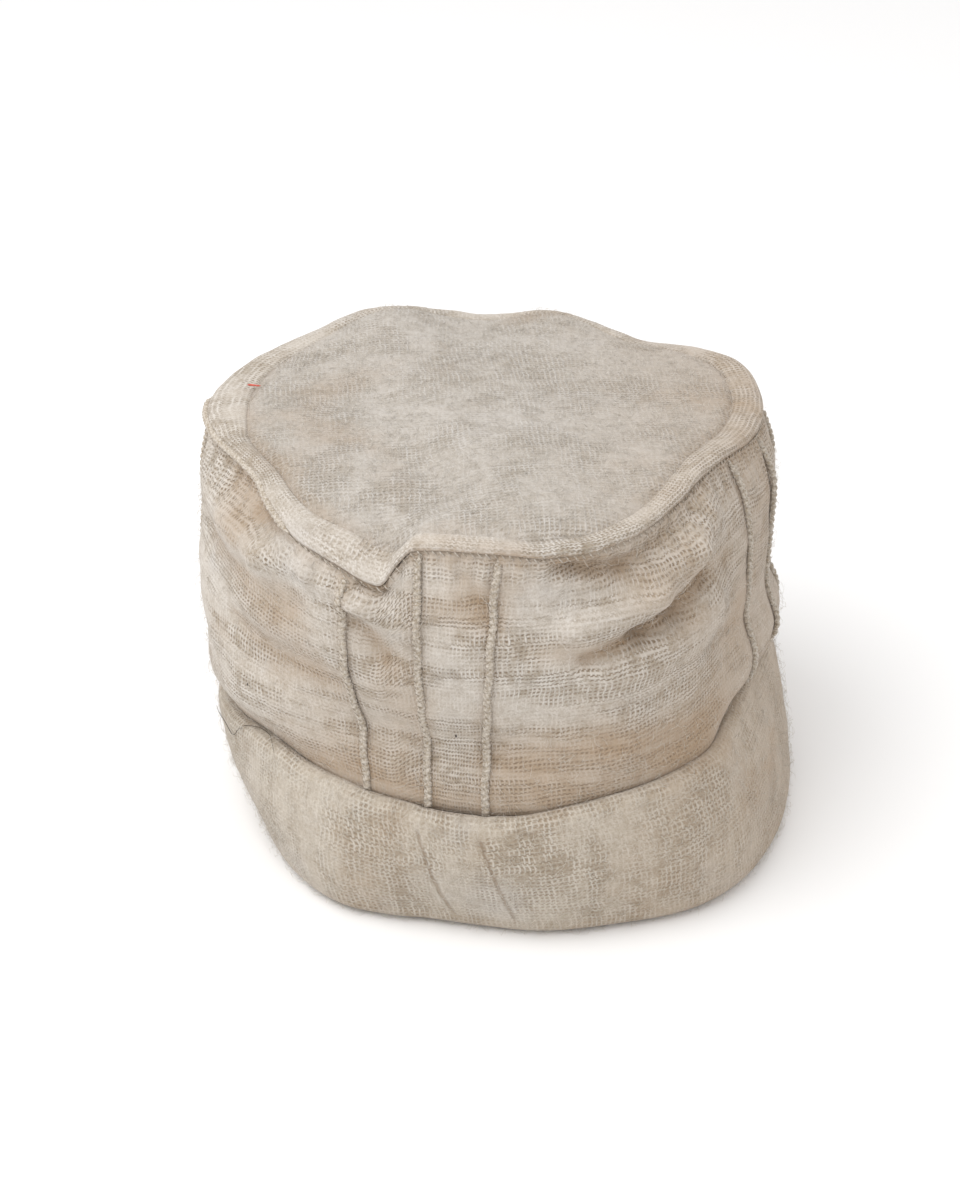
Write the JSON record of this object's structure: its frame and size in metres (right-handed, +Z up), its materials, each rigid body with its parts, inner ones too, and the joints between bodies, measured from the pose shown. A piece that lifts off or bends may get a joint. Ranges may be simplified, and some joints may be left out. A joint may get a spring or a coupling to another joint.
{
  "type": "pashtun hat",
  "caption": "Soft round-topped wool hat of open handwoven cloth, with a stitched crown edge, sewn tucks down the side and a turned-up cuff.",
  "frame": {"origin": "middle of the bounding box, on the surface that the hat rests on", "axes": "+Z up towards the crown; -Y is the side with three tucks that the picture shows, and +X is to its right"},
  "size_m": [0.2178, 0.2156, 0.1538],
  "materials": {
    "crown_wool": "matte undyed wool",
    "welt_wool": "matte undyed wool, stitched",
    "wall_wool": "matte undyed wool",
    "cuff_wool": "matte undyed wool"
  },
  "bodies": {
    "root": {"crown_panel": "crown_wool", "crown_welt": "welt_wool", "side_wall": "wall_wool", "cuff": "cuff_wool"}
  },
  "joints": []
}
